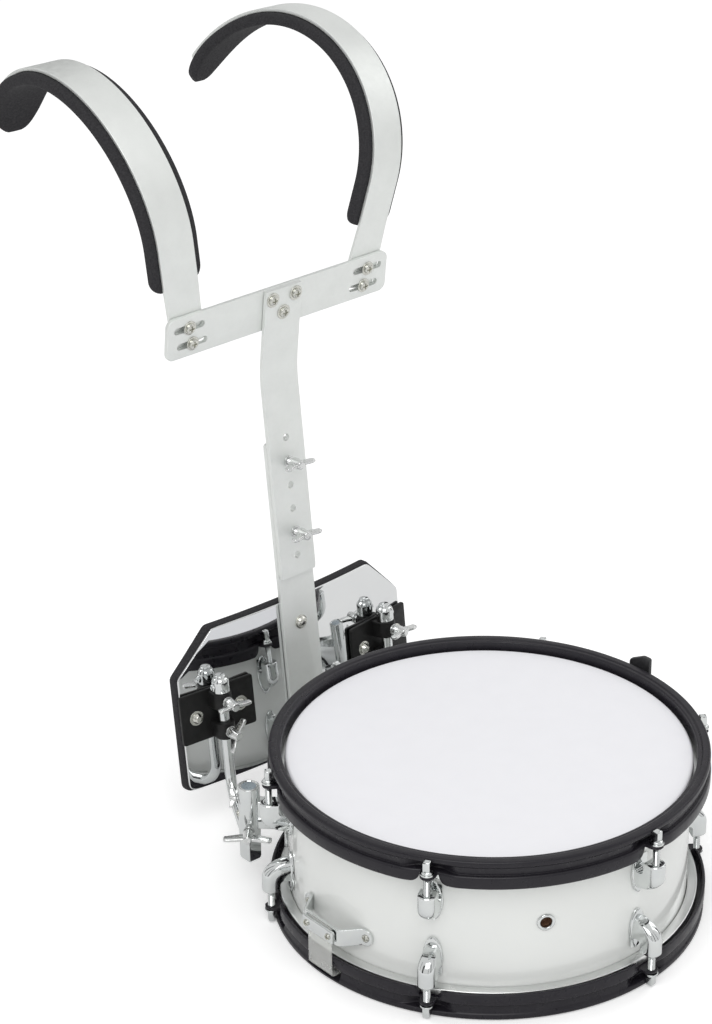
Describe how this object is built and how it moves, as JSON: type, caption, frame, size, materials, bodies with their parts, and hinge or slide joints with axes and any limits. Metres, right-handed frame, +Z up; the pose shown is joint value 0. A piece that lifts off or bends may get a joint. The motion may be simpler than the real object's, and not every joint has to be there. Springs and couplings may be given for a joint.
{
  "type": "marching snare drum with shoulder carrier",
  "caption": "Shallow marching snare drum with black hoops, a throw-off and a leaning over-the-shoulder carrier with padded hooks and a belly plate.",
  "frame": {"origin": "middle of the object's lowest face, on the floor that the snare-side rim stands on", "axes": "+Z up along the drum's axis, +Y from the drum toward the player, +X toward the strainer"},
  "size_m": [0.3734, 0.6696, 0.6481],
  "materials": {
    "white_wrap": "white high-gloss wrap over a wooden shell",
    "head_film": "coated white film",
    "black_steel": "satin black powder coat on pressed steel",
    "chrome": "bright chrome plate",
    "black_plastic": "satin black moulded plastic",
    "black_cast": "black painted casting",
    "mirror_steel": "mirror polish",
    "aluminium": "bead-blasted bare aluminium",
    "foam": "closed-cell foam, matte black",
    "steel_wire": "bright drawn wire",
    "strap_film": "milky translucent plastic strip"
  },
  "bodies": {
    "drum": {"shell": "white_wrap", "vent_grommet": "chrome", "batter_head": "head_film", "snare_head": "head_film", "batter_hoop": "black_steel", "snare_hoop": "black_steel", "batter_lug_1": "chrome", "batter_lug_2": "chrome", "batter_lug_3": "chrome", "batter_lug_4": "chrome", "batter_lug_5": "chrome", "batter_lug_6": "chrome", "snare_lug_1": "chrome", "snare_lug_2": "chrome", "snare_lug_3": "chrome", "snare_lug_4": "chrome", "snare_lug_5": "chrome", "snare_lug_6": "chrome", "strainer_body": "chrome", "butt_bracket": "chrome", "left_receiver": "chrome", "right_receiver": "chrome", "left_hanging_rod": "chrome", "right_hanging_rod": "chrome", "left_memory_collar": "chrome", "right_memory_collar": "chrome"},
    "batter_rod_1": {"batter_tension_rod_1": "chrome"},
    "batter_rod_2": {"batter_tension_rod_2": "chrome"},
    "batter_rod_3": {"batter_tension_rod_3": "chrome"},
    "batter_rod_4": {"batter_tension_rod_4": "chrome"},
    "batter_rod_5": {"batter_tension_rod_5": "chrome"},
    "batter_rod_6": {"batter_tension_rod_6": "chrome"},
    "snare_rod_1": {"snare_tension_rod_1": "chrome"},
    "snare_rod_2": {"snare_tension_rod_2": "chrome"},
    "snare_rod_3": {"snare_tension_rod_3": "chrome"},
    "snare_rod_4": {"snare_tension_rod_4": "chrome"},
    "snare_rod_5": {"snare_tension_rod_5": "chrome"},
    "snare_rod_6": {"snare_tension_rod_6": "chrome"},
    "lever": {"strainer_lever": "black_plastic"},
    "knob": {"strainer_knob": "chrome"},
    "snares": {"snare_wires": "steel_wire", "strainer_strap": "strap_film", "butt_strap": "strap_film"},
    "left_receiver_screw": {"left_receiver_wing_screw": "chrome"},
    "right_receiver_screw": {"right_receiver_wing_screw": "chrome"},
    "carrier": {"belly_plate": "mirror_steel", "belly_pad": "foam", "lower_stem": "aluminium", "left_clamp_bracket": "black_cast", "right_clamp_bracket": "black_cast"},
    "left_clamp_screw": {"left_clamp_wing_screw": "chrome"},
    "right_clamp_screw": {"right_clamp_wing_screw": "chrome"},
    "mast": {"upper_stem": "aluminium", "crossbar": "aluminium"},
    "upper_stem_screw": {"upper_stem_wing_screw": "chrome"},
    "lower_stem_screw": {"lower_stem_wing_screw": "chrome"},
    "left_hook": {"left_shoulder_bar": "aluminium", "left_shoulder_pad": "foam"},
    "right_hook": {"right_shoulder_bar": "aluminium", "right_shoulder_pad": "foam"}
  },
  "joints": [
    {"name": "batter_rod_1_turn", "type": "hinge", "parent": "drum", "child": "batter_rod_1", "pos_m": [-0.15895, -0.23956, 0.12], "axis": [0, 0, 1], "continuous": true},
    {"name": "batter_rod_2_turn", "type": "hinge", "parent": "drum", "child": "batter_rod_2", "pos_m": [-0.00064, -0.32731, 0.12], "axis": [0, 0, 1], "continuous": true},
    {"name": "batter_rod_3_turn", "type": "hinge", "parent": "drum", "child": "batter_rod_3", "pos_m": [0.15451, -0.23408, 0.12], "axis": [0, 0, 1], "continuous": true},
    {"name": "batter_rod_4_turn", "type": "hinge", "parent": "drum", "child": "batter_rod_4", "pos_m": [0.15135, -0.05311, 0.12], "axis": [0, 0, 1], "continuous": true},
    {"name": "batter_rod_5_turn", "type": "hinge", "parent": "drum", "child": "batter_rod_5", "pos_m": [-0.00696, 0.03464, 0.12], "axis": [0, 0, 1], "continuous": true},
    {"name": "batter_rod_6_turn", "type": "hinge", "parent": "drum", "child": "batter_rod_6", "pos_m": [-0.16211, -0.05858, 0.12], "axis": [0, 0, 1], "continuous": true},
    {"name": "snare_rod_1_turn", "type": "hinge", "parent": "drum", "child": "snare_rod_1", "pos_m": [-0.15895, -0.23956, 0.015], "axis": [0, 0, 1], "continuous": true},
    {"name": "snare_rod_2_turn", "type": "hinge", "parent": "drum", "child": "snare_rod_2", "pos_m": [-0.00064, -0.32731, 0.015], "axis": [0, 0, 1], "continuous": true},
    {"name": "snare_rod_3_turn", "type": "hinge", "parent": "drum", "child": "snare_rod_3", "pos_m": [0.15451, -0.23408, 0.015], "axis": [0, 0, 1], "continuous": true},
    {"name": "snare_rod_4_turn", "type": "hinge", "parent": "drum", "child": "snare_rod_4", "pos_m": [0.15135, -0.05311, 0.015], "axis": [0, 0, 1], "continuous": true},
    {"name": "snare_rod_5_turn", "type": "hinge", "parent": "drum", "child": "snare_rod_5", "pos_m": [-0.00696, 0.03464, 0.015], "axis": [0, 0, 1], "continuous": true},
    {"name": "snare_rod_6_turn", "type": "hinge", "parent": "drum", "child": "snare_rod_6", "pos_m": [-0.16211, -0.05858, 0.015], "axis": [0, 0, 1], "continuous": true},
    {"name": "lever_throw", "type": "hinge", "parent": "drum", "child": "lever", "pos_m": [0.18047, -0.14955, 0.066], "axis": [0.0175, 0.9998, 0], "range_deg": [0, 85]},
    {"name": "snares_drop", "type": "slide", "parent": "drum", "child": "snares", "axis": [0, 0, -1], "range_m": [0, 0.0028]},
    {"name": "knob_turn", "type": "hinge", "parent": "drum", "child": "knob", "pos_m": [0.16877, -0.14935, 0.084], "axis": [0, 0, 1], "continuous": true},
    {"name": "left_receiver_screw_turn", "type": "hinge", "parent": "drum", "child": "left_receiver_screw", "pos_m": [-0.14736, -0.01406, 0.058], "axis": [-0.7108, -0.7034, 0], "continuous": true},
    {"name": "right_receiver_screw_turn", "type": "hinge", "parent": "drum", "child": "right_receiver_screw", "pos_m": [0.13976, -0.01406, 0.058], "axis": [0.7108, -0.7034, 0], "continuous": true},
    {"name": "carrier_slide", "type": "slide", "parent": "drum", "child": "carrier", "axis": [0, 0.1094, 0.994], "range_m": [-0.03, 0]},
    {"name": "left_clamp_screw_turn", "type": "hinge", "parent": "carrier", "child": "left_clamp_screw", "pos_m": [-0.09795, 0.07032, 0.12481], "axis": [-0.1333, -0.9851, 0.1084], "continuous": true},
    {"name": "right_clamp_screw_turn", "type": "hinge", "parent": "carrier", "child": "right_clamp_screw", "pos_m": [0.09035, 0.07032, 0.12481], "axis": [0.1333, -0.9851, 0.1084], "continuous": true},
    {"name": "stem_slide", "type": "slide", "parent": "carrier", "child": "mast", "axis": [0, 0.1094, 0.994], "range_m": [-0.032, 0.006]},
    {"name": "upper_stem_screw_turn", "type": "hinge", "parent": "mast", "child": "upper_stem_screw", "pos_m": [-0.0038, 0.09622, 0.30903], "axis": [0, -0.994, 0.1094], "continuous": true},
    {"name": "lower_stem_screw_turn", "type": "hinge", "parent": "mast", "child": "lower_stem_screw", "pos_m": [-0.0038, 0.08928, 0.24597], "axis": [0, -0.994, 0.1094], "continuous": true},
    {"name": "left_hook_slide", "type": "slide", "parent": "mast", "child": "left_hook", "axis": [1, 0, 0], "range_m": [-0.01, 0.01]},
    {"name": "right_hook_slide", "type": "slide", "parent": "mast", "child": "right_hook", "axis": [1, 0, 0], "range_m": [-0.01, 0.01]}
  ],
  "couplings": [
    {"joint": "lever_throw", "follows": "snares_drop", "rad_per_m": 529.8}
  ]
}
